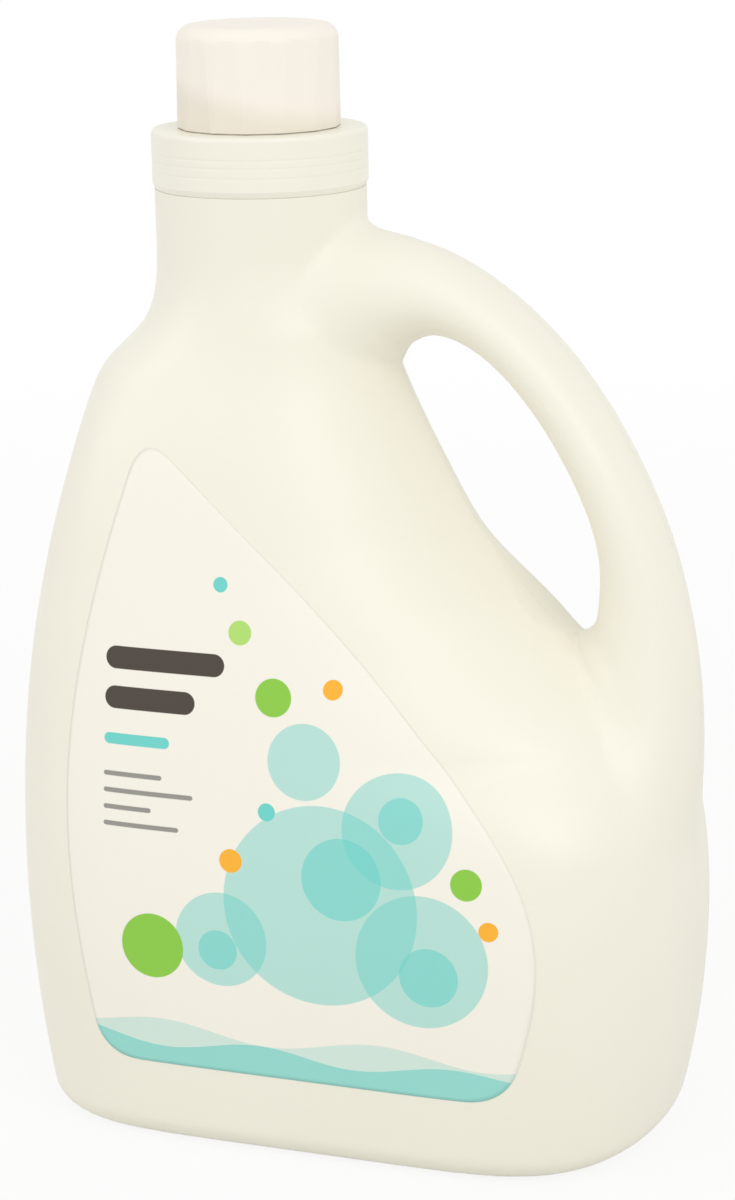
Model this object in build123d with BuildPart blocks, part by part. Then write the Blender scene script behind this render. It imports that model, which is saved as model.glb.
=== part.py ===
from build123d import *
import math
import os

os.makedirs("parts", exist_ok=True)

# Jug for liquid laundry detergent: bottle, pour spout, dosing cap and front label, in millimetres

# Neck and the finish that the pour spout snaps on
NECK_X = -27.0
NECK_RADIUS = 28.25
NECK_ROOT = 236.0
NECK_MIDDLE = 245.0
LEDGE_HEIGHT = 253.6
LEDGE_WALL = 2.0
FINISH_RADIUS = 24.4
FINISH_HEIGHT = 14.0
BORE_RADIUS = 22.6
BEAD_HEIGHT = 5.0
BEAD_RADIUS = 25.2
BEAD_LENGTH = 2.4

# Outline of the body seen from the front, as pairs of x and height
LEFT_BASE = (-88.0, 0.0)
LEFT_FOOT = (-90.5, 16.0)
LEFT_BULGE = (-94.5, 78.0)
LEFT_FLANK = (-82.8, 160.0)
LEFT_SHOULDER = (-73.0, 196.0)
LEFT_CURVE = (-62.6, 212.5)
RIGHT_BASE = (87.0, 0.0)
RIGHT_FOOT = (90.5, 16.0)
RIGHT_BULGE = (94.2, 48.0)
RIGHT_SHELF = (92.0, 88.0)
RIGHT_RISE = (82.0, 114.0)
RIGHT_CROTCH = (60.7, 138.5)
RIGHT_RAMP = (54.7, 144.5)
RIGHT_GRIP = (39.6, 158.0)
RIGHT_FLANK = (27.8, 175.0)
RIGHT_WAIST = (17.7, 194.3)
RIGHT_SHOULDER = (9.7, 212.0)

# Half depth of the body, as pairs of half depth and height
DEPTH_BASE = (54.5, 0.0)
DEPTH_FOOT = (56.0, 16.0)
DEPTH_BULGE = (58.0, 66.0)
DEPTH_FLANK = (46.0, 160.0)
DEPTH_SHOULDER = (38.2, 194.0)
DEPTH_CURVE = (31.6, 214.0)

# Sections of the body, more square below and round at the neck
PANEL_POWER = 4.4
PANEL_END = 150.0
RISE_POWER = 2.6
ROUND_POWER = 2.0
ROUND_END = 0.5
SHARP_END = 0.8
SHARP_START = 138.0
SHARP_TOP = 188.0
SECTION_COUNT = 20
SECTION_CROWDING = 1.5
POINT_COUNT = 16
FOOT_TURNS = (0, 25, 55)
HALVINGS = 30

# Flat that trims the body's edge at the foot of the finger gap, as pairs of x and height
GAP_FLAT = [(90.0, 134.0), (63.0, 138.8), (52.7, 144.4), (46.6, 151.2), (38.6, 160.5), (33.6, 168.5)]

# Handle stations from its foot to the neck: x, height, half thickness, half depth
HANDLE_STATIONS = [
    (72.8, 79.4, 18.6, 40.0),
    (75.8, 97.1, 17.2, 30.0),
    (78.5, 114.6, 15.9, 20.5),
    (79.5, 137.0, 13.5, 15.2),
    (77.5, 159.0, 10.0, 14.0),
    (67.8, 185.3, 8.7, 14.0),
    (51.5, 206.8, 7.9, 14.0),
    (36.0, 221.3, 8.8, 14.4),
    (22.2, 226.9, 11.2, 15.4),
    (10.9, 227.4, 14.8, 17.2),
    (0.0, 226.2, 17.8, 20.0),
    (-15.1, 224.0, 19.0, 25.0),
]

# Walls of the bottle
WALL = 1.3
BASE_WALL = 2.0
BASE_ROUND = 7.0
BASE_RING = 16.0
BASE_PUSH = 3.0

# Pour spout
COLLAR_RADIUS = 28.8
COLLAR_SEAM = 0.4
COLLAR_CHAMFER = 0.8
COLLAR_ROUND = 1.2
DECK_THICKNESS = 2.0
SPOUT_WALL = 1.4
PLUG_CLEARANCE = 0.15
BEAD_CLEARANCE = 0.3
PLUG_DEPTH = 21.0
DRAIN_FALL = 5.0
SPOUT_RADIUS = 13.6
LIP_HIGH = 12.5
LIP_LOW = 2.5
DRAIN_SLOT = 9.0
DRAIN_HEIGHT = 6.0

# Dosing cap
CAP_RADIUS = 21.7
CAP_TOP_RADIUS = 21.4
CAP_HEIGHT = 26.8
CAP_ROUND = 4.2
CAP_WALL = 1.4
CAP_FLATS = 14
CAP_FLAT_RADIUS = 21.25
CAP_SEAT_GAP = 0.3
CAP_SKIRT = 12.0
THREAD_CLEARANCE = 0.35
EDGE_SEARCH = 0.1

# Front label, its outline as pairs of x and height
LABEL_THICKNESS = 0.2
LABEL_GLUE = 0.1
LABEL_TOP = (-46.5, 193.0)
LABEL_LEFT = (-66.0, 98.0)
LABEL_BOTTOM_LEFT = (-57.0, 24.0)
LABEL_BOTTOM_RIGHT = (61.0, 24.0)
LABEL_RIGHT = (65.5, 66.0)
LABEL_SLOPE = [(50.0, 108.0), (21.0, 140.0), (-12.0, 167.0)]
LABEL_CORNER = 8.0

# Places worked out from the sizes above
NECK_LEFT = NECK_X - NECK_RADIUS
NECK_RIGHT = NECK_X + NECK_RADIUS
FINISH_TOP = LEDGE_HEIGHT + FINISH_HEIGHT
DECK_TOP = FINISH_TOP + DECK_THICKNESS
PLUG_RADIUS = BORE_RADIUS - PLUG_CLEARANCE
SOCKET_RADIUS = PLUG_RADIUS - SPOUT_WALL
PLUG_BOTTOM = DECK_TOP - PLUG_DEPTH
SKIRT_RADIUS = SOCKET_RADIUS - THREAD_CLEARANCE
CAP_SEAT = DECK_TOP + CAP_SEAT_GAP
CAP_TOP = CAP_SEAT + CAP_HEIGHT
neck_axis = Axis((NECK_X, 0, 0), (0, 0, 1))

with BuildLine() as left_outline:
    Spline(LEFT_BASE, LEFT_FOOT, LEFT_BULGE, LEFT_FLANK, LEFT_SHOULDER, LEFT_CURVE,
           (NECK_LEFT, NECK_ROOT), (NECK_LEFT, NECK_MIDDLE), (NECK_LEFT, LEDGE_HEIGHT))
with BuildLine() as right_outline:
    Spline(RIGHT_BASE, RIGHT_FOOT, RIGHT_BULGE, RIGHT_SHELF, RIGHT_RISE, RIGHT_CROTCH, RIGHT_RAMP, RIGHT_GRIP,
           RIGHT_FLANK, RIGHT_WAIST, RIGHT_SHOULDER,
           (NECK_RIGHT, NECK_ROOT), (NECK_RIGHT, NECK_MIDDLE), (NECK_RIGHT, LEDGE_HEIGHT))
with BuildLine() as depth_outline:
    Spline(DEPTH_BASE, DEPTH_FOOT, DEPTH_BULGE, DEPTH_FLANK, DEPTH_SHOULDER, DEPTH_CURVE,
           (NECK_RADIUS, NECK_ROOT), (NECK_RADIUS, NECK_MIDDLE), (NECK_RADIUS, LEDGE_HEIGHT))
with BuildLine(Plane.XZ) as handle_line:
    Spline(*[(x, height) for x, height, _, _ in HANDLE_STATIONS])


def reach(outline, height):
    """How far an outline stands out at a height, found by halving."""
    low, high = 0.0, 1.0
    for _ in range(HALVINGS):
        middle = (low + high) / 2
        if (outline @ middle).Y < height:
            low = middle
        else:
            high = middle
    return (outline @ low).X


def ease(start, end, value):
    """Smooth step from 0 at start to 1 at end."""
    share = min(max((value - start) / (end - start), 0.0), 1.0)
    return share * share * (3 - 2 * share)


def body_section(height, wall, drawn_in):
    """A horizontal section of the body, inside its skin by wall and drawn in at the foot."""
    level = height + wall
    left = reach(left_outline.edge(), level) + wall + drawn_in
    right = reach(right_outline.edge(), level) - wall - drawn_in
    depth = reach(depth_outline.edge(), level) - wall - drawn_in
    rounding = ease(PANEL_END, NECK_ROOT, level)
    left_power = PANEL_POWER + (ROUND_POWER - PANEL_POWER) * rounding
    rise = ease(RIGHT_SHELF[1], RIGHT_RISE[1], level)
    right_power = left_power + (min(RISE_POWER, left_power) - left_power) * rise
    sharp = ease(RIGHT_RISE[1], SHARP_START, level) * (1 - ease(SHARP_TOP, NECK_ROOT, level))
    right_end = ROUND_END + (SHARP_END - ROUND_END) * sharp
    points = []
    for step in range(2 * POINT_COUNT):
        turn = math.pi * step / POINT_COUNT
        across = -math.cos(turn)
        power, end = (left_power, ROUND_END) if across < 0 else (right_power, right_end)
        x = (left + right) / 2 + (right - left) / 2 * across
        half = depth * max(1 - abs(across) ** power, 0.0) ** end
        points.append((x, -half if step < POINT_COUNT else half))
    with BuildSketch(Plane.XY.offset(height)) as section:
        with BuildLine():
            Spline(*points, periodic=True)
        make_face()
    return section.sketch


def body_sections(bottom, top, wall, corner):
    """Sections through the rounded foot, then up the body, closer together towards the top."""
    heights = [bottom + corner * (1 - math.cos(math.radians(turn))) for turn in FOOT_TURNS]
    for step in range(SECTION_COUNT + 1):
        share = 1 - (1 - step / SECTION_COUNT) ** SECTION_CROWDING
        heights.append(bottom + corner + (top - bottom - corner) * share)
    sections = []
    for height in heights:
        below = max(bottom + corner - height, 0.0)
        drawn_in = corner - math.sqrt(corner ** 2 - below ** 2)
        sections.append(body_section(height, wall, drawn_in))
    return sections


def handle_sections(wall):
    """Oval sections square to the handle's centre line, inside its skin by wall."""
    sections = []
    for x, height, half_thickness, half_depth in HANDLE_STATIONS:
        place = Vector(x, 0, height)
        along = handle_line.edge().tangent_at(place)
        across = Vector(along.Z, 0, -along.X)
        with BuildSketch(Plane(origin=place, x_dir=across, z_dir=along)) as section:
            Ellipse(half_thickness - wall, half_depth - wall)
        sections.append(section.sketch)
    return sections


def gap_flat(inset):
    """Front view of what the flat trims off, moved into the body by inset."""
    with BuildSketch(Plane.XZ) as region:
        with BuildLine():
            trimmed = [(x - inset, height) for x, height in GAP_FLAT]
            Spline(*trimmed)
            Polyline(trimmed[-1], (trimmed[0][0], trimmed[-1][1]), trimmed[0])
        make_face()
    return region.sketch


def push_up(low, high, ring):
    """The raised middle of the base, from height low to high, inside the foot by ring."""
    return [body_section(low, ring, 0.0), body_section(high, ring + high - low, 0.0)]


# Space inside the bottle
with BuildPart() as inside:
    loft(sections=body_sections(BASE_WALL, LEDGE_HEIGHT - LEDGE_WALL, WALL, BASE_ROUND - WALL))
    loft(sections=push_up(BASE_WALL, BASE_WALL + BASE_PUSH, BASE_RING - WALL), mode=Mode.SUBTRACT)
    extrude(gap_flat(2 * WALL), amount=DEPTH_BULGE[0], both=True, mode=Mode.SUBTRACT)
    loft(sections=handle_sections(WALL))

# Bottle, one blow moulding with a hollow handle
with BuildPart() as bottle:
    loft(sections=body_sections(0.0, LEDGE_HEIGHT, 0.0, BASE_ROUND))
    loft(sections=push_up(0.0, BASE_PUSH, BASE_RING), mode=Mode.SUBTRACT)
    extrude(gap_flat(0.0), amount=DEPTH_BULGE[0], both=True, mode=Mode.SUBTRACT)
    loft(sections=handle_sections(0.0))
    add(inside.part, mode=Mode.SUBTRACT)
    with BuildSketch(Plane.XZ):
        with BuildLine():
            Polyline(
                (NECK_X + BORE_RADIUS, LEDGE_HEIGHT - LEDGE_WALL),
                (NECK_X + FINISH_RADIUS, LEDGE_HEIGHT - LEDGE_WALL),
                (NECK_X + FINISH_RADIUS, LEDGE_HEIGHT + BEAD_HEIGHT - BEAD_LENGTH / 2),
                (NECK_X + BEAD_RADIUS, LEDGE_HEIGHT + BEAD_HEIGHT),
                (NECK_X + FINISH_RADIUS, LEDGE_HEIGHT + BEAD_HEIGHT + BEAD_LENGTH / 2),
                (NECK_X + FINISH_RADIUS, FINISH_TOP),
                (NECK_X + BORE_RADIUS, FINISH_TOP),
                close=True,
            )
        make_face()
    revolve(axis=neck_axis)
    with BuildSketch(Plane.XY.offset(LEDGE_HEIGHT - LEDGE_WALL)):
        with Locations((NECK_X, 0)):
            Circle(BORE_RADIUS)
    extrude(amount=LEDGE_WALL, mode=Mode.SUBTRACT)
bottle.part.label = "bottle"
export_step(bottle.part, "parts/bottle.step")

# Pour spout, one moulding: collar, plug, drain floor and spout
with BuildPart() as pour_spout:
    skirt_bottom = LEDGE_HEIGHT + COLLAR_SEAM
    skirt_inner = BEAD_RADIUS + BEAD_CLEARANCE
    lip_top = DECK_TOP + LIP_HIGH
    spout_bore = SPOUT_RADIUS - SPOUT_WALL
    with BuildSketch(Plane.XZ):
        with BuildLine():
            Polyline(
                (NECK_X + COLLAR_RADIUS - COLLAR_CHAMFER, skirt_bottom),
                (NECK_X + COLLAR_RADIUS, skirt_bottom + 2 * COLLAR_CHAMFER),
                (NECK_X + COLLAR_RADIUS, DECK_TOP),
                (NECK_X + SOCKET_RADIUS, DECK_TOP),
                (NECK_X + SOCKET_RADIUS, PLUG_BOTTOM + DRAIN_FALL + SPOUT_WALL),
                (NECK_X + SPOUT_RADIUS, PLUG_BOTTOM + SPOUT_WALL),
                (NECK_X + SPOUT_RADIUS, lip_top),
                (NECK_X + spout_bore, lip_top),
                (NECK_X + spout_bore, PLUG_BOTTOM),
                (NECK_X + SPOUT_RADIUS, PLUG_BOTTOM),
                (NECK_X + PLUG_RADIUS, PLUG_BOTTOM + DRAIN_FALL),
                (NECK_X + PLUG_RADIUS, FINISH_TOP),
                (NECK_X + skirt_inner, FINISH_TOP),
                (NECK_X + skirt_inner, skirt_bottom),
                close=True,
            )
        make_face()
    revolve(axis=neck_axis)
    rim = pour_spout.edges().filter_by(GeomType.CIRCLE).group_by(SortBy.RADIUS)[-1].sort_by(Axis.Z)[-1]
    fillet(rim, COLLAR_ROUND)
    with BuildSketch(Plane.XZ):
        with BuildLine():
            Polyline(
                (NECK_X - SPOUT_RADIUS, lip_top),
                (NECK_X + SPOUT_RADIUS, DECK_TOP + LIP_LOW),
                (NECK_X + SPOUT_RADIUS, lip_top),
                close=True,
            )
        make_face()
    extrude(amount=SPOUT_RADIUS, both=True, mode=Mode.SUBTRACT)
    with BuildSketch(Plane.YZ.offset(NECK_X)):
        with Locations((0, PLUG_BOTTOM + SPOUT_WALL + DRAIN_HEIGHT / 2)):
            SlotOverall(DRAIN_SLOT, DRAIN_HEIGHT)
    extrude(amount=SPOUT_RADIUS, mode=Mode.SUBTRACT)
pour_spout.part.label = "pour_spout"
export_step(pour_spout.part, "parts/pour_spout.step")

# Dosing cap, a cup that screws into the collar upside down
with BuildPart() as dosing_cap:
    skirt_end = CAP_SEAT - CAP_SKIRT
    with BuildSketch(Plane.XZ):
        with BuildLine():
            Polyline(
                (NECK_X + SKIRT_RADIUS, skirt_end),
                (NECK_X + SKIRT_RADIUS, CAP_SEAT),
                (NECK_X + CAP_RADIUS, CAP_SEAT),
                (NECK_X + CAP_TOP_RADIUS, CAP_TOP),
                (NECK_X, CAP_TOP),
                (NECK_X, CAP_TOP - CAP_WALL),
                (NECK_X + CAP_TOP_RADIUS - CAP_WALL, CAP_TOP - CAP_WALL),
                (NECK_X + SKIRT_RADIUS - CAP_WALL, CAP_SEAT),
                (NECK_X + SKIRT_RADIUS - CAP_WALL, skirt_end),
                close=True,
            )
        make_face()
    revolve(axis=neck_axis)
    crowns = dosing_cap.edges().filter_by(GeomType.CIRCLE).sort_by(Axis.Z)
    fillet(crowns[-1], CAP_ROUND)
    crowns = dosing_cap.edges().filter_by(GeomType.CIRCLE).filter_by_position(
        Axis.Z, CAP_TOP - CAP_WALL - EDGE_SEARCH, CAP_TOP - CAP_WALL + EDGE_SEARCH)
    fillet(crowns, CAP_ROUND - CAP_WALL)
    with BuildSketch(Plane.XY.offset(skirt_end)):
        with Locations((NECK_X, 0)):
            RegularPolygon(CAP_FLAT_RADIUS, CAP_FLATS, major_radius=False)
    extrude(amount=CAP_TOP - skirt_end, mode=Mode.INTERSECT)
dosing_cap.part.label = "dosing_cap"
export_step(dosing_cap.part, "parts/dosing_cap.step")

# Front label, a film on the front panel
with BuildPart() as front_label:
    loft(sections=body_sections(0.0, LEDGE_HEIGHT, -LABEL_GLUE - LABEL_THICKNESS, BASE_ROUND))
    with BuildSketch(Plane.XZ):
        with BuildLine():
            ThreePointArc(LABEL_TOP, LABEL_LEFT, LABEL_BOTTOM_LEFT)
            Line(LABEL_BOTTOM_LEFT, LABEL_BOTTOM_RIGHT)
            Spline(LABEL_BOTTOM_RIGHT, LABEL_RIGHT, *LABEL_SLOPE, LABEL_TOP)
        make_face()
        fillet(vertices(), LABEL_CORNER)
    extrude(amount=2 * DEPTH_BULGE[0], mode=Mode.INTERSECT)
    loft(sections=body_sections(0.0, LEDGE_HEIGHT, -LABEL_GLUE, BASE_ROUND), mode=Mode.SUBTRACT)
front_label.part.label = "front_label"
export_step(front_label.part, "parts/front_label.step")
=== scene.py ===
import math
import bmesh
import bpy
import numpy as np
from mathutils import Matrix, Vector


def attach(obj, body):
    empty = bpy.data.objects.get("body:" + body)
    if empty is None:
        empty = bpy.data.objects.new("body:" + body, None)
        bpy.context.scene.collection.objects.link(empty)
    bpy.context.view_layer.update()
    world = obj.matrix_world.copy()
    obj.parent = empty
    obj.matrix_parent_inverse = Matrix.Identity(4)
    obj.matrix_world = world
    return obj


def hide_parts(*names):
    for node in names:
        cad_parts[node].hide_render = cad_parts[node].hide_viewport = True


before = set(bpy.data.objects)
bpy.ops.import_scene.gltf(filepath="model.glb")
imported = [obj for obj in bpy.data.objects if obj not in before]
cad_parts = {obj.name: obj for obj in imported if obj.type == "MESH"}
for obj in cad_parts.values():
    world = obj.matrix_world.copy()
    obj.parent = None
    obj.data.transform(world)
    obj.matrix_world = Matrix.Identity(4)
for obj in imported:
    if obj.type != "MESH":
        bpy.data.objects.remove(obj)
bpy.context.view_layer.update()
MM = 0.001

# Image height and focal length in pixels, sensor in millimetres, camera in metres and degrees
IMAGE_HEIGHT = 1200
SENSOR = 36.0
FOCAL_PIXELS = 3222.0
CAMERA_DISTANCE = 0.8587
CAMERA_AZIMUTH = 22.25
CAMERA_HEIGHT = 0.3644
CAMERA_YAW = 1.77
CAMERA_PITCH = 14.7
CAMERA_ROLL = -0.98

# Neck, in millimetres as the part is drawn
NECK_X = -27.0
NECK_RADIUS = 28.25
NECK_ROOT = 236.0
NECK_MIDDLE = 245.0
LEDGE_HEIGHT = 253.6
NECK_LEFT = NECK_X - NECK_RADIUS
NECK_RIGHT = NECK_X + NECK_RADIUS

# Outlines of the body, pairs of reach and height
LEFT_OUTLINE = [
    (-88.0, 0.0), (-90.5, 16.0), (-94.6, 70.0), (-94.1, 100.0), (-90.9, 130.0), (-84.2, 160.0),
    (-78.5, 181.0), (-73.6, 199.0), (-69.2, 208.0), (-60.2, 217.0), (-56.1, 226.0),
    (NECK_LEFT, NECK_ROOT), (NECK_LEFT, NECK_MIDDLE), (NECK_LEFT, LEDGE_HEIGHT),
]
RIGHT_OUTLINE = [
    (87.0, 0.0), (90.5, 16.0), (94.2, 48.0), (92.0, 88.0), (82.0, 114.0), (60.7, 138.5), (54.7, 144.5),
    (39.6, 158.0), (27.8, 175.0), (17.7, 194.3), (9.7, 212.0),
    (NECK_RIGHT, NECK_ROOT), (NECK_RIGHT, NECK_MIDDLE), (NECK_RIGHT, LEDGE_HEIGHT),
]
DEPTH_OUTLINE = [
    (54.5, 0.0), (56.0, 16.0), (58.0, 66.0), (46.0, 160.0), (38.2, 194.0), (31.6, 214.0),
    (NECK_RADIUS, NECK_ROOT), (NECK_RADIUS, NECK_MIDDLE), (NECK_RADIUS, LEDGE_HEIGHT),
]

# Sections of the body, squarish below, round at the neck and sharp beside the finger gap
PANEL_POWER = 6.0
PANEL_END = 165.0
RISE_POWER = 2.6
RISE_START = 88.0
RISE_END = 114.0
ROUND_POWER = 2.0
ROUND_END = 0.5
SHARP_END = 0.8
SHARP_START = 138.0
SHARP_TOP = 200.0

# Foot of the bottle
BASE_ROUND = 7.0
BASE_PUSH = 3.0
BASE_RING = 16.0
BASE_RING_EASE = 2.0

# Flat that trims the body beside the finger gap, pairs of x and height
GAP_FLAT = [
    (14.0, 216.0), (22.0, 196.5), (28.7, 178.5), (33.4, 168.3), (38.0, 159.9), (45.5, 150.1),
    (51.5, 143.2), (62.2, 137.6), (80.0, 132.8), (110.0, 129.0),
]
GAP_FLAT_SLOPE = 0.6
GAP_EDGE = 0.15

# Handle stations from its foot to the neck: x, height, half thickness, half depth
HANDLE_STATIONS = [
    (72.8, 79.4, 18.6, 40.0), (75.8, 97.1, 18.4, 30.0), (78.5, 114.6, 16.6, 20.5),
    (79.5, 137.0, 13.5, 15.2), (77.5, 159.0, 10.0, 14.0), (67.3, 185.0, 8.5, 14.0),
    (52.0, 207.4, 8.2, 14.0), (36.0, 221.3, 8.8, 14.4), (22.2, 226.9, 11.4, 15.6),
    (10.9, 227.1, 15.4, 17.0), (0.0, 225.4, 18.8, 19.0), (-15.1, 222.7, 20.1, 21.0),
]
HANDLE_STEPS = 170

# How body and handle are joined into one skin, and how finely it is netted
BODY_SLOPE = 100.0
HANDLE_SLOPE = 32.0
BLEND = 7.0
BLEND_TOP = 5.0
BLEND_START = 190.0
BLEND_END = 212.0
SKIN_LOW = (-98.0, -62.0, -3.0)
SKIN_HIGH = (100.0, 62.0, LEDGE_HEIGHT + 5.0)
SKIN_TOP = LEDGE_HEIGHT + 0.35
SKIN_STEP = 1.45
LINING_STEP = 4.0
LINING_DEPTH = 1.8
SETTLE_REACH = 0.03
SETTLE_TURNS = 3
SETTLE_LEAST = 0.01

# Edge of the gap's flat: which corners are drawn onto it, and the angle that is shown sharp
EDGE_REACH = 1.0
EDGE_NEAR = 0.62
EDGE_THIN = 1.2
EDGE_MISS = 0.02
EDGE_TURNS = 4
EDGE_STEADY = 1e-6
EDGE_ANGLE = 38.0

# Front label, its outline as pairs of x and height
LABEL_TOP = (-46.5, 194.0)
LABEL_LEFT = (-66.0, 98.0)
LABEL_BOTTOM_LEFT = (-57.0, 24.0)
LABEL_BOTTOM_RIGHT = (58.0, 24.0)
LABEL_RIGHT = (66.2, 66.0)
LABEL_SLOPE = [(58.5, 90.0), (41.2, 111.0), (12.4, 142.0), (-14.5, 167.0)]
LABEL_CORNER = 23.0
LABEL_LIFT = 0.08
LABEL_THICKNESS = 0.06
LABEL_RINGS = 60
LABEL_TURNS = 240
LABEL_FINE = 8

# Colours as seen on screen, 0 to 255
CREAM = (244, 241, 227)
CREAM_DEEP = (241, 237, 221)
FILM = (247, 243, 232)
FILM_DEEP = (245, 241, 229)
SPOUT_PALE = (244, 241, 228)
SPOUT_DEEP = (241, 238, 223)
CAP_PALE = (254, 248, 238)
CAP_DEEP = (253, 246, 234)
# Painted shade of the spout inside the cap, laid low on the cap's wall
CAP_PAINTED_SHADE = (242, 235, 220)
TEAL = (110, 212, 203)
LIME = (139, 203, 66)
LIME_PALE = (178, 222, 112)
ORANGE = (252, 180, 44)
BROWN = (68, 58, 49)
GREY = (150, 147, 141)


def linear(colour):
    """Turn a colour as seen on screen into the linear values that shaders use: a straight line in the
    dark and a power above it."""
    values = np.array(colour) / 255.0
    low = values / 12.92
    high = ((values + 0.055) / 1.055) ** 2.4
    return tuple(float(v) for v in np.where(values <= 0.04045, low, high)) + (1.0,)


def spline_values(values, knots, at):
    """A natural cubic spline through values at knots, read at the places given: one set of linear
    equations gives the bend at each knot, and the bends at its ends fix the cubic of each span."""
    values = np.asarray(values, float)
    knots = np.asarray(knots, float)
    gap = np.diff(knots)
    rows = np.arange(1, len(knots) - 1)
    matrix = np.eye(len(knots))
    matrix[rows, rows - 1] = gap[:-1]
    matrix[rows, rows] = 2 * (gap[:-1] + gap[1:])
    matrix[rows, rows + 1] = gap[1:]
    slopes = np.diff(values) / gap
    target = np.zeros(len(knots))
    target[rows] = 6 * np.diff(slopes)
    bend = np.linalg.solve(matrix, target)
    at = np.clip(at, knots[0], knots[-1])
    span = np.clip(np.searchsorted(knots, at) - 1, 0, len(gap) - 1)
    width = gap[span]
    after = at - knots[span]
    before = knots[span + 1] - at
    cubic = (bend[span] * before ** 3 + bend[span + 1] * after ** 3) / (6 * width)
    low = (values[span] / width - bend[span] * width / 6) * before
    high = (values[span + 1] / width - bend[span + 1] * width / 6) * after
    return cubic + low + high


def curve_through(points, count):
    """Points spread along a spline through the rows given, by length of chord in the first two columns."""
    points = np.asarray(points, float)
    chords = np.sqrt((np.diff(points[:, :2], axis=0) ** 2).sum(axis=1))
    knots = np.concatenate([[0.0], np.cumsum(chords)])
    along = np.linspace(0.0, knots[-1], count)
    return np.stack([spline_values(column, knots, along) for column in points.T], axis=1)


def outline_at(outline, height):
    """Reach of an outline at heights, by a spline through its points."""
    reach, knots = np.array(outline).T
    return spline_values(reach, knots, height)


def ease(start, end, value):
    """Smooth step from 0 at start to 1 at end."""
    share = np.clip((value - start) / (end - start), 0.0, 1.0)
    return share * share * (3 - 2 * share)


def soft_least(first, second, width):
    """The lesser of two values, rounded off by up to a quarter of the width where they differ by less."""
    near = np.clip(1 - np.abs(first - second) / width, 0.0, 1.0)
    return np.minimum(first, second) - width / 4 * near ** 2


def body_depth_squared(x, z):
    """Square of the body's half depth: the full depth times one less the width share to a power,
    raised to an end power that is one half where the side is round and more where it is sharp."""
    foot = np.clip(BASE_ROUND - z, 0.0, BASE_ROUND)
    drawn_in = BASE_ROUND - np.sqrt(BASE_ROUND ** 2 - foot ** 2)
    left = outline_at(LEFT_OUTLINE, z) + drawn_in
    right = outline_at(RIGHT_OUTLINE, z) - drawn_in
    depth = outline_at(DEPTH_OUTLINE, z) - drawn_in
    left_power = PANEL_POWER + (ROUND_POWER - PANEL_POWER) * ease(PANEL_END, NECK_ROOT, z)
    lowered = np.minimum(RISE_POWER, left_power) - left_power
    right_power = left_power + lowered * ease(RISE_START, RISE_END, z)
    across = (2 * x - left - right) / (right - left)
    share = 1 - np.abs(across) ** np.where(across < 0, left_power, right_power)
    sharp = ease(RISE_END, SHARP_START, z) * (1 - ease(SHARP_TOP, NECK_ROOT, z))
    end = np.where(across < 0, ROUND_END, ROUND_END + (SHARP_END - ROUND_END) * sharp)
    return depth ** 2 * np.sign(share) * np.abs(share) ** (2 * end)


HANDLE_LINE = curve_through(HANDLE_STATIONS, HANDLE_STEPS).T


def handle_depth_squared(x, z):
    """Square of the handle's half depth: an oval about the nearest place on its centre line."""
    line_x, line_z, thick, deep = HANDLE_LINE
    squares = (x[..., None] - line_x) ** 2 + (z[..., None] - line_z) ** 2
    near = np.clip(np.argmin(squares, axis=-1), 1, HANDLE_STEPS - 2)
    chord_x = line_x[near + 1] - line_x[near - 1]
    chord_z = line_z[near + 1] - line_z[near - 1]
    from_x = x - line_x[near]
    from_z = z - line_z[near]
    share = np.clip((from_x * chord_x + from_z * chord_z) / (chord_x ** 2 + chord_z ** 2), -0.5, 0.5)
    away = (from_x - share * chord_x) ** 2 + (from_z - share * chord_z) ** 2
    half_thick = thick[near] + share * (thick[near + 1] - thick[near - 1])
    half_deep = deep[near] + share * (deep[near + 1] - deep[near - 1])
    return half_deep ** 2 * (1 - away / half_thick ** 2)


def skin_parts(x, z):
    """What the skin needs of a place in the front view: body, handle and height over the gap's flat."""
    flat_x, flat_z = np.array(GAP_FLAT).T
    over_flat = GAP_FLAT_SLOPE * (z - spline_values(flat_z, flat_x, x))
    over_flat = np.where(x < flat_x[0], -BODY_SLOPE, over_flat)
    return body_depth_squared(x, z), handle_depth_squared(x, z), over_flat


def skin_value(body, handle, over_flat, y, z):
    """Signed value of the skin, below zero inside: the body is trimmed by the flat, joined softly to
    the handle, then cut level at the foot and hollowed a little under its middle."""
    from_body = (y ** 2 - body) / BODY_SLOPE
    from_handle = (y ** 2 - handle) / HANDLE_SLOPE
    trimmed = -soft_least(-from_body, -over_flat, GAP_EDGE)
    blend = BLEND + (BLEND_TOP - BLEND) * ease(BLEND_START, BLEND_END, z)
    joined = soft_least(trimmed, from_handle, blend)
    push = BASE_PUSH * ease(BASE_RING - BASE_RING_EASE, BASE_RING + BASE_RING_EASE, -from_body)
    return np.maximum(joined, push - z)


def skin_at(points):
    """Skin value at points given as rows of x, y, z."""
    x, y, z = points.T
    return skin_value(*skin_parts(x, z), y, z)


def settle(points, depth):
    """Move points along the slope of the skin value until they lie at that depth inside the skin."""
    for _ in range(SETTLE_TURNS):
        here = skin_at(points)
        slope = np.stack([skin_at(points + SETTLE_REACH * side) - here for side in np.eye(3)], axis=1)
        slope = slope / SETTLE_REACH
        step = (here + depth) / np.maximum((slope ** 2).sum(axis=1), SETTLE_LEAST)
        points = points - np.clip(step[:, None] * slope, -SKIN_STEP, SKIN_STEP)
    return points


def edge_values(points):
    """The body's value, the height over the gap's flat, which are both zero along the flat's edge, and
    the handle's value."""
    x, y, z = points.T
    body, handle, over_flat = skin_parts(x, z)
    return np.stack([(y ** 2 - body) / BODY_SLOPE, over_flat], axis=1), (y ** 2 - handle) / HANDLE_SLOPE


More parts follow.
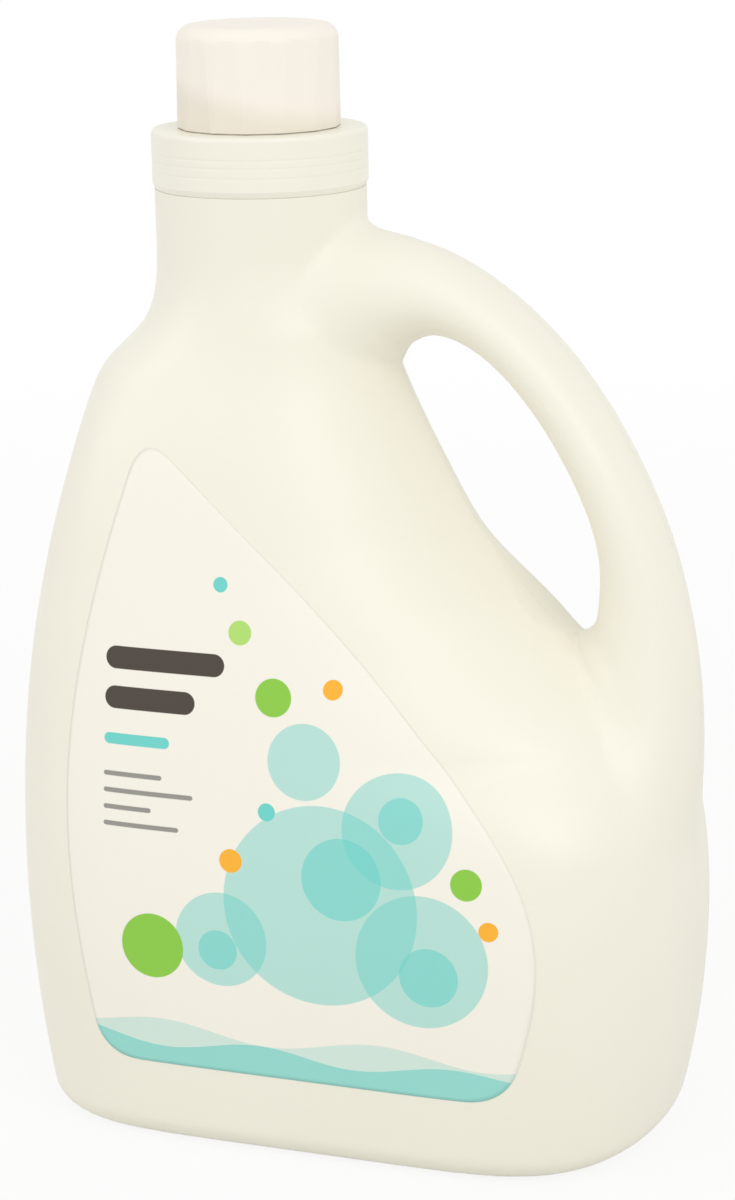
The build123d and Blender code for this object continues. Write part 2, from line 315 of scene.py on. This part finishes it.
def sharpen(points):
    """Move points close to the edge of the gap's flat onto it, by the shortest step that brings both
    values to zero. Near the handle and at the thin end of the flat the edge runs out softly."""
    both, handle = edge_values(points)
    picked = np.flatnonzero((np.abs(both).max(axis=1) < EDGE_REACH) & (handle > BLEND))
    moved = points[picked]
    for _ in range(EDGE_TURNS):
        both = edge_values(moved)[0]
        slopes = [edge_values(moved + SETTLE_REACH * side)[0] - both for side in np.eye(3)]
        slopes = np.stack(slopes, axis=2) / SETTLE_REACH
        across = slopes.transpose(0, 2, 1)
        shares = np.linalg.solve(slopes @ across + EDGE_STEADY * np.eye(2), both[..., None])
        moved = moved - np.clip((across @ shares)[..., 0], -SKIN_STEP, SKIN_STEP)
    way = np.sqrt(((moved - points[picked]) ** 2).sum(axis=1))
    good = (way < EDGE_NEAR * SKIN_STEP) & (np.abs(moved[:, 1]) > EDGE_THIN)
    good &= np.abs(edge_values(moved)[0]).max(axis=1) < EDGE_MISS
    points = points.copy()
    points[picked[good]] = moved[good]
    return points


def skin_net(step, depth):
    """Net of the surface that lies at a depth inside the skin: one corner in each cell of a grid that
    the surface crosses, at the mean of the crossings, and a face round each grid line that it cuts."""
    low = np.array(SKIN_LOW)
    counts = np.ceil((np.array(SKIN_HIGH) - low) / step).astype(int) + 1
    xs, ys, zs = (low[axis] + step * np.arange(counts[axis]) for axis in range(3))
    front_x, front_z = np.meshgrid(xs, zs, indexing="ij")
    body, handle, over_flat = (part[:, None, :] for part in skin_parts(front_x, front_z))
    value = skin_value(body, handle, over_flat, ys[None, :, None], zs[None, None, :]) + depth
    corners = np.array([(i, j, k) for i in (0, 1) for j in (0, 1) for k in (0, 1)])
    size = np.array(value.shape) - 1
    cells = [value[i:size[0] + i, j:size[1] + j, k:size[2] + k] for i, j, k in corners]
    inside = sum((cell < 0).astype(int) for cell in cells)
    active = (inside > 0) & (inside < 8)
    number = np.full(active.shape, -1)
    number[active] = np.arange(active.sum())
    held = np.stack([cell[active] for cell in cells])
    total = np.zeros((active.sum(), 3))
    crossings = np.zeros(active.sum())
    edges = [(a, b) for a in range(8) for b in range(a) if np.abs(corners[a] - corners[b]).sum() == 1]
    for a, b in edges:
        cross = (held[a] < 0) != (held[b] < 0)
        share = np.where(cross, held[a] / np.where(cross, held[a] - held[b], 1.0), 0.0)
        total += cross[:, None] * (corners[a] + share[:, None] * (corners[b] - corners[a]))
        crossings += cross
    points = low + step * (np.argwhere(active) + total / crossings[:, None])
    faces = []
    for axes in ((0, 1, 2), (1, 2, 0), (2, 0, 1)):
        along = np.moveaxis(value, axes, (0, 1, 2))
        cell = np.moveaxis(number, axes, (0, 1, 2))
        change = (along[:-1, 1:-1, 1:-1] < 0) != (along[1:, 1:-1, 1:-1] < 0)
        i, j, k = np.nonzero(change)
        ring = [cell[i, j, k], cell[i, j + 1, k], cell[i, j + 1, k + 1], cell[i, j, k + 1]]
        ring = np.stack(ring, axis=1)
        outward = along[i, j + 1, k + 1] < 0
        faces.append(np.where(outward[:, None], ring, ring[:, ::-1]))
    points = settle(points, depth)
    points[:, 2] = np.maximum(points[:, 2], depth)
    return points, np.concatenate(faces)


def new_piece(name, points, faces):
    """A smooth mesh piece from points in millimetres and faces as lists of corners."""
    mesh = bpy.data.meshes.new(name)
    mesh.from_pydata((points * MM).tolist(), [], faces)
    mesh.polygons.foreach_set("use_smooth", np.ones(len(mesh.polygons), bool))
    piece = bpy.data.objects.new(name, mesh)
    bpy.context.scene.collection.objects.link(piece)
    return piece


def make_bottle(finish):
    """The bottle: its skin and its lining, both cut level at the ledge and joined there by a rim."""
    points, faces = skin_net(SKIN_STEP, 0.0)
    points = sharpen(points)
    inner_points, inner_faces = skin_net(LINING_STEP, LINING_DEPTH)
    all_faces = faces.tolist() + (inner_faces[:, ::-1] + len(points)).tolist()
    piece = new_piece("bottle_skin", np.concatenate([points, inner_points]), all_faces)
    shell = bmesh.new()
    shell.from_mesh(piece.data)
    parts = shell.verts[:] + shell.edges[:] + shell.faces[:]
    bmesh.ops.bisect_plane(shell, geom=parts, plane_co=(0, 0, SKIN_TOP * MM), plane_no=(0, 0, 1),
                           clear_outer=True)
    rim = [edge for edge in shell.edges if edge.is_boundary]
    bmesh.ops.triangle_fill(shell, use_beauty=True, use_dissolve=False, edges=rim, normal=(0, 0, 1))
    shell.to_mesh(piece.data)
    shell.free()
    piece.data.set_sharp_from_angle(angle=math.radians(EDGE_ANGLE))
    piece.data.materials.append(finish)
    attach(piece, "jug")
    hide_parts("bottle")


def label_edge():
    """The label's closed outline: its sides in turn, spread evenly, with the corners averaged round."""
    left = curve_through([LABEL_TOP, LABEL_LEFT, LABEL_BOTTOM_LEFT], LABEL_TURNS)
    right = curve_through([LABEL_BOTTOM_RIGHT, LABEL_RIGHT, *LABEL_SLOPE, LABEL_TOP], LABEL_TURNS)
    rough = np.concatenate([left, right])
    chords = np.hypot(*np.diff(rough, axis=0).T)
    knots = np.concatenate([[0.0], np.cumsum(chords)])
    even = np.linspace(0.0, knots[-1], LABEL_TURNS * LABEL_FINE, endpoint=False)
    outline = np.stack([np.interp(even, knots, column) for column in rough.T], axis=1)
    half_window = int(LABEL_CORNER / 2 / (knots[-1] / len(even)))
    shifts = range(-half_window, half_window + 1)
    rounded = np.mean([np.roll(outline, shift, axis=0) for shift in shifts], axis=0)
    return rounded[::LABEL_FINE]


def make_label(finish):
    """The label: rings between its middle and its outline, laid on the front of the body."""
    edge = label_edge()
    middle = edge.mean(axis=0)
    share = np.linspace(0.0, 1.0, LABEL_RINGS + 1)[1:, None, None]
    x, z = np.concatenate([middle[None], (middle + share * (edge - middle)).reshape(-1, 2)]).T
    y = -np.sqrt(body_depth_squared(x, z)) - LABEL_LIFT
    ring = np.arange(LABEL_RINGS * LABEL_TURNS).reshape(LABEL_RINGS, LABEL_TURNS) + 1
    after = np.roll(ring, -1, axis=1)
    bands = np.stack([ring[:-1], ring[1:], after[1:], after[:-1]], axis=-1).reshape(-1, 4)
    fan = np.stack([np.zeros_like(ring[0]), ring[0], after[0]], axis=-1)
    piece = new_piece("label_film", np.stack([x, y, z], axis=1), bands.tolist() + fan.tolist())
    film = piece.modifiers.new("film", "SOLIDIFY")
    film.thickness = LABEL_THICKNESS * MM
    film.offset = 0.0
    piece.data.materials.append(finish)
    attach(piece, "jug")
    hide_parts("front_label")


# Sockets of the mix node that hold its two colours and the result
MIX_FIRST = 6
MIX_SECOND = 7
MIX_RESULT = 2


class Finish:
    """A material under way: adds nodes and joins them to the shader."""

    def __init__(self, name):
        self.material = bpy.data.materials.new(name)
        self.material.use_nodes = True
        self.tree = self.material.node_tree
        self.shader = self.tree.nodes["Principled BSDF"]
        self.place = self.add("ShaderNodeTexCoord").outputs["Object"]
        self.split = self.add("ShaderNodeSeparateXYZ", {0: self.place}).outputs

    def add(self, kind, inputs=None, **settings):
        """A node of a kind, with its settings, and its inputs set to numbers or joined to sockets."""
        node = self.tree.nodes.new(kind)
        for key, value in settings.items():
            setattr(node, key, value)
        for key, value in (inputs or {}).items():
            self.put(node.inputs[key], value)
        return node

    def put(self, socket, value):
        """Join a socket to another, or give it a plain value."""
        if isinstance(value, bpy.types.NodeSocket):
            self.tree.links.new(value, socket)
        else:
            socket.default_value = value

    def maths(self, operation, *values):
        """One step of arithmetic."""
        return self.add("ShaderNodeMath", dict(enumerate(values)), operation=operation).outputs[0]

    def step(self, value, start, end):
        """Smooth step from 0 at start to 1 at end."""
        inputs = {"Value": value, "From Min": start, "From Max": end}
        return self.add("ShaderNodeMapRange", inputs, interpolation_type="SMOOTHSTEP").outputs["Result"]

    def span(self, value, low, high):
        """A value between 0 and 1 spread from low to high."""
        inputs = {"Value": value, "To Min": low, "To Max": high}
        return self.add("ShaderNodeMapRange", inputs).outputs["Result"]

    def noise(self, size, detail=2.0):
        """Cloudy noise whose patches are about a size in millimetres."""
        inputs = {"Vector": self.place, "Scale": 1.0 / (size * MM), "Detail": detail}
        return self.add("ShaderNodeTexNoise", inputs).outputs[0]

    def mix(self, share, first, second):
        """Two colours mixed by a share."""
        inputs = {0: share, MIX_FIRST: first, MIX_SECOND: second}
        return self.add("ShaderNodeMix", inputs, data_type="RGBA").outputs[MIX_RESULT]

    def bump(self, height, depth, strength, under=None):
        """Raise the surface by a height, depth in millimetres at height 1."""
        inputs = {"Height": height, "Distance": depth * MM, "Strength": strength}
        if under is not None:
            inputs["Normal"] = under
        return self.add("ShaderNodeBump", inputs).outputs["Normal"]


def plastic(name, pale, deep, rough_low, rough_high, grain, patch, ior):
    """Moulded plastic: two close shades in soft patches, uneven gloss in patches a third as large and
    a fine skin. Grain and patch are sizes in millimetres."""
    finish = Finish(name)
    cloud = finish.noise(patch, detail=3.0)
    finish.put(finish.shader.inputs["Base Color"], finish.mix(cloud, linear(pale), linear(deep)))
    fine = finish.noise(grain)
    blotch = finish.noise(patch / 3)
    finish.put(finish.shader.inputs["Roughness"], finish.span(blotch, rough_low, rough_high))
    finish.shader.inputs["IOR"].default_value = ior
    return finish, fine


# Moulding seam in the middle of the depth, half widths of its crest and foot
SEAM_CREST = 0.1
SEAM_FOOT = 0.5


def bottle_finish():
    """Satin off-white polyethylene with a fine skin and a moulding seam in the middle of its depth."""
    finish, fine = plastic("bottle_plastic", CREAM, CREAM_DEEP, rough_low=0.36, rough_high=0.5,
                           grain=0.9, patch=45.0, ior=1.5)
    off_seam = finish.maths("ABSOLUTE", finish.split["Y"])
    seam = finish.maths("SUBTRACT", 1.0, finish.step(off_seam, SEAM_CREST * MM, SEAM_FOOT * MM))
    skin = finish.bump(fine, depth=0.06, strength=0.35)
    skin = finish.bump(seam, depth=0.15, strength=0.6, under=skin)
    finish.put(finish.shader.inputs["Normal"], skin)
    return finish.material


# Faint rings round the collar, as heights, with the half width of each
COLLAR_RINGS = (259.0, 261.6, 263.7)
RING_WIDTH = 0.5


def spout_finish():
    """Smooth natural polypropylene, a little green, with faint rings turned into the collar."""
    finish, fine = plastic("spout_plastic", SPOUT_PALE, SPOUT_DEEP, rough_low=0.28, rough_high=0.42,
                           grain=0.7, patch=14.0, ior=1.49)
    skin = finish.bump(fine, depth=0.03, strength=0.3)
    for height in COLLAR_RINGS:
        off_ring = finish.maths("ABSOLUTE", finish.maths("SUBTRACT", finish.split["Z"], height * MM))
        beside = finish.step(off_ring, 0.0, RING_WIDTH * MM)
        skin = finish.bump(beside, depth=0.12, strength=0.5, under=skin)
    finish.put(finish.shader.inputs["Normal"], skin)
    return finish.material


# Painted shade of the slanted spout inside, as it would show through the cap: its height at the neck's
# middle, fall along x and softness
SHADE_HEIGHT = 277.3
SHADE_FALL = 0.23
SHADE_SOFT = 4.0
CAP_CLEAR = 0.06


def cap_finish():
    """Frosted polypropylene, a little pink, with a painted shade low down where the spout inside would
    show through.
    """
    finish, fine = plastic("cap_plastic", CAP_PALE, CAP_DEEP, rough_low=0.42, rough_high=0.52,
                           grain=0.5, patch=12.0, ior=1.3)
    # Painted shade: the cap's colour turns to the shade colour below a slanted line that follows the spout
    # inside
    level = finish.maths("MULTIPLY_ADD", finish.split["X"], SHADE_FALL, finish.split["Z"])
    line = (SHADE_HEIGHT + SHADE_FALL * NECK_X) * MM
    free_of_painted_shade = finish.step(level, line - SHADE_SOFT * MM, line + SHADE_SOFT * MM)
    plain = finish.shader.inputs["Base Color"].links[0].from_socket
    finish.put(finish.shader.inputs["Base Color"], finish.mix(free_of_painted_shade, linear(CAP_PAINTED_SHADE), plain))
    finish.put(finish.shader.inputs["Normal"], finish.bump(fine, depth=0.03, strength=0.3))
    finish.shader.inputs["Transmission Weight"].default_value = CAP_CLEAR
    return finish.material


# Print on the label, in millimetres: bubbles as x, height, radius, colour and share of ink
BUBBLES = [
    (8.0, 74.0, 27.0, TEAL, 0.58), (36.0, 62.0, 18.0, TEAL, 0.58), (29.0, 96.0, 15.0, TEAL, 0.58),
    (-20.0, 62.0, 13.0, TEAL, 0.58), (3.0, 112.0, 10.0, TEAL, 0.58), (14.0, 82.0, 11.0, TEAL, 0.7),
    (38.0, 58.0, 8.0, TEAL, 0.7), (-21.0, 59.0, 5.5, TEAL, 0.7), (30.0, 99.0, 6.0, TEAL, 0.7),
    (-6.0, 128.0, 5.0, LIME, 1.0), (-16.0, 144.0, 3.2, LIME_PALE, 1.0), (48.0, 84.0, 4.2, LIME, 1.0),
    (10.0, 131.0, 2.6, ORANGE, 1.0), (-17.0, 84.0, 3.2, ORANGE, 1.0), (54.0, 72.0, 2.6, ORANGE, 1.0),
    (-22.0, 156.0, 2.0, TEAL, 1.0), (-7.0, 98.0, 2.4, TEAL, 1.0), (-40.0, 58.0, 9.0, LIME, 1.0),
]
# Bars in line at the left as bottom, length, thickness and colour
BAR_LEFT = -54.0
BARS = [
    (132.0, 34.0, 6.0, BROWN), (121.5, 26.0, 6.0, BROWN), (112.0, 19.0, 3.0, TEAL),
    (103.5, 17.0, 1.3, GREY), (99.0, 26.0, 1.3, GREY), (94.5, 14.0, 1.3, GREY), (90.0, 22.0, 1.3, GREY),
]
# Waves along the foot of the label as height, swing, length, shift, colour and share of ink
WAVES = [(35.0, 2.2, 62.0, 8.0, TEAL, 0.35), (31.0, 1.8, 54.0, 30.0, TEAL, 0.7)]
# Half width of the soft edge of the ink
INK_EDGE = 0.12


def label_finish():
    """Matte film with generic bubbles, bars and waves printed on it as plain shapes."""
    finish, fine = plastic("label_film", FILM, FILM_DEEP, rough_low=0.44, rough_high=0.56,
                           grain=0.6, patch=60.0, ior=1.48)
    x = finish.maths("DIVIDE", finish.split["X"], MM)
    z = finish.maths("DIVIDE", finish.split["Z"], MM)
    colour = finish.shader.inputs["Base Color"].links[0].from_socket

    def length(a, b):
        """Root of the sum of two squares."""
        squares = finish.maths("ADD", finish.maths("MULTIPLY", a, a), finish.maths("MULTIPLY", b, b))
        return finish.maths("SQRT", squares)

    def ink(colour, outside, tint, share):
        """Lay a share of a tint over the colour where the way outside a shape is below zero."""
        inside = finish.maths("SUBTRACT", 1.0, finish.step(outside, -INK_EDGE, INK_EDGE))
        return finish.mix(finish.span(inside, 0.0, share), colour, linear(tint))

    for height, swing, wave, shift, tint, share in WAVES:
        turn = finish.maths("MULTIPLY", finish.maths("SUBTRACT", x, shift), 2 * math.pi / wave)
        crest = finish.maths("MULTIPLY_ADD", finish.maths("SINE", turn), swing, height)
        colour = ink(colour, finish.maths("SUBTRACT", z, crest), tint, share)
    for middle_x, middle_z, radius, tint, share in BUBBLES:
        away = length(finish.maths("SUBTRACT", x, middle_x), finish.maths("SUBTRACT", z, middle_z))
        colour = ink(colour, finish.maths("SUBTRACT", away, radius), tint, share)
    for bottom, long, thick, tint in BARS:
        half_long = (long - thick) / 2
        beyond = finish.maths("ABSOLUTE", finish.maths("SUBTRACT", x, BAR_LEFT + long / 2))
        beyond = finish.maths("MAXIMUM", finish.maths("SUBTRACT", beyond, half_long), 0.0)
        away = length(beyond, finish.maths("SUBTRACT", z, bottom + thick / 2))
        colour = ink(colour, finish.maths("SUBTRACT", away, thick / 2), tint, 1.0)
    finish.put(finish.shader.inputs["Base Color"], colour)
    ripple = finish.bump(finish.noise(size=38.0, detail=1.0), depth=0.5, strength=0.12)
    skin = finish.bump(fine, depth=0.03, strength=0.25, under=ripple)
    finish.put(finish.shader.inputs["Normal"], skin)
    return finish.material


def place_camera():
    """Stand the camera on a circle round the neck, then turn it by yaw, pitch and roll."""
    azimuth = math.radians(CAMERA_AZIMUTH)
    sideways = CAMERA_DISTANCE * math.sin(azimuth)
    place = Vector((NECK_X * MM + sideways, -CAMERA_DISTANCE * math.cos(azimuth), CAMERA_HEIGHT))
    forward = Vector((-math.sin(azimuth), math.cos(azimuth), 0.0))
    right = Vector((math.cos(azimuth), math.sin(azimuth), 0.0))
    up = Vector((0.0, 0.0, 1.0))
    yaw, pitch, roll = (math.radians(turn) for turn in (CAMERA_YAW, CAMERA_PITCH, CAMERA_ROLL))
    forward, right = (forward * math.cos(yaw) + right * math.sin(yaw),
                      right * math.cos(yaw) - forward * math.sin(yaw))
    forward, up = (forward * math.cos(pitch) - up * math.sin(pitch),
                   up * math.cos(pitch) + forward * math.sin(pitch))
    right, up = (right * math.cos(roll) + up * math.sin(roll),
                 up * math.cos(roll) - right * math.sin(roll))
    lens = bpy.data.cameras.new("camera")
    lens.sensor_width = SENSOR
    lens.lens = FOCAL_PIXELS / IMAGE_HEIGHT * SENSOR
    camera = bpy.data.objects.new("camera", lens)
    camera.matrix_world = Matrix((right, up, -forward)).transposed().to_4x4()
    camera.location = place
    bpy.context.scene.collection.objects.link(camera)
    bpy.context.scene.camera = camera


# Lamps, in metres and watts
LAMP_AIM = (0.0, 0.0, 0.15)
KEY_PLACE = (1.2, -0.95, 1.2)
KEY_SIZE = 1.2
KEY_POWER = 8.6
FILL_PLACE = (-1.1, -0.9, 0.9)
FILL_SIZE = 1.0
FILL_POWER = 3.8


def area_light(name, place, size, power):
    """A soft square lamp at place that faces the jug."""
    lamp = bpy.data.lights.new(name, "AREA")
    lamp.shape = "SQUARE"
    lamp.size = size
    lamp.energy = power
    holder = bpy.data.objects.new(name, lamp)
    holder.location = place
    holder.rotation_euler = (Vector(LAMP_AIM) - Vector(place)).to_track_quat("-Z", "Y").to_euler()
    bpy.context.scene.collection.objects.link(holder)


# Floor and room, in metres: how white the floor is shown near the jug, and the room's light
FLOOR_SIZE = 6.0
FLOOR_COLOUR = (230, 229, 227)
FLOOR_ROUGH = 0.9
FLOOR_WHITE = 0.88
FLOOR_NEAR = 0.3
FLOOR_FAR = 1.2
WORLD_LIGHT = 0.78


def seen_plainly(tree):
    """Light Path's share that is 1 for camera, glossy and transmission rays."""
    path = tree.nodes.new("ShaderNodeLightPath")
    total = path.outputs["Is Camera Ray"]
    for name in ("Is Glossy Ray", "Is Transmission Ray"):
        both = tree.nodes.new("ShaderNodeMath")
        both.operation = "MAXIMUM"
        tree.links.new(total, both.inputs[0])
        tree.links.new(path.outputs[name], both.inputs[1])
        total = both.outputs[0]
    return total


def make_floor():
    """A plain pale floor: nearly white near the jug, where it keeps the shadow, and white far off."""
    half = FLOOR_SIZE / 2
    mesh = bpy.data.meshes.new("floor")
    corners = [(-half, -half, 0), (half, -half, 0), (half, half, 0), (-half, half, 0)]
    mesh.from_pydata(corners, [], [(0, 1, 2, 3)])
    floor = bpy.data.objects.new("floor", mesh)
    bpy.context.scene.collection.objects.link(floor)
    material = bpy.data.materials.new("floor_paper")
    material.use_nodes = True
    tree = material.node_tree
    paper = tree.nodes["Principled BSDF"]
    paper.inputs["Base Color"].default_value = linear(FLOOR_COLOUR)
    paper.inputs["Roughness"].default_value = FLOOR_ROUGH
    white = tree.nodes.new("ShaderNodeEmission")
    place = tree.nodes.new("ShaderNodeTexCoord")
    away = tree.nodes.new("ShaderNodeVectorMath")
    away.operation = "LENGTH"
    tree.links.new(place.outputs["Object"], away.inputs[0])
    fade = tree.nodes.new("ShaderNodeMapRange")
    for name, value in (("From Min", FLOOR_NEAR), ("From Max", FLOOR_FAR), ("To Min", FLOOR_WHITE)):
        fade.inputs[name].default_value = value
    tree.links.new(away.outputs["Value"], fade.inputs["Value"])
    share = tree.nodes.new("ShaderNodeMath")
    share.operation = "MULTIPLY"
    tree.links.new(fade.outputs["Result"], share.inputs[1])
    tree.links.new(seen_plainly(tree), share.inputs[0])
    both = tree.nodes.new("ShaderNodeMixShader")
    tree.links.new(share.outputs[0], both.inputs[0])
    tree.links.new(paper.outputs[0], both.inputs[1])
    tree.links.new(white.outputs[0], both.inputs[2])
    tree.links.new(both.outputs[0], tree.nodes["Material Output"].inputs["Surface"])
    mesh.materials.append(material)


def make_world():
    """A white room that lights softly and is seen as white."""
    world = bpy.data.worlds.new("studio")
    world.use_nodes = True
    tree = world.node_tree
    sky = tree.nodes["Background"]
    sky.inputs["Color"].default_value = (1, 1, 1, 1)
    level = tree.nodes.new("ShaderNodeMapRange")
    level.inputs["To Min"].default_value = WORLD_LIGHT
    level.inputs["To Max"].default_value = 1.0
    tree.links.new(seen_plainly(tree), level.inputs["Value"])
    tree.links.new(level.outputs["Result"], sky.inputs["Strength"])
    bpy.context.scene.world = world


def dress(node, finish):
    """Give a node of the part its finish."""
    for slot in bpy.data.objects[node].material_slots:
        slot.material = finish


make_bottle(bottle_finish())
make_label(label_finish())
dress("pour_spout", spout_finish())
dress("dosing_cap", cap_finish())
place_camera()
bpy.context.scene.view_settings.view_transform = "Standard"
make_floor()
make_world()
area_light("key", KEY_PLACE, KEY_SIZE, KEY_POWER)
area_light("fill", FILL_PLACE, FILL_SIZE, FILL_POWER)
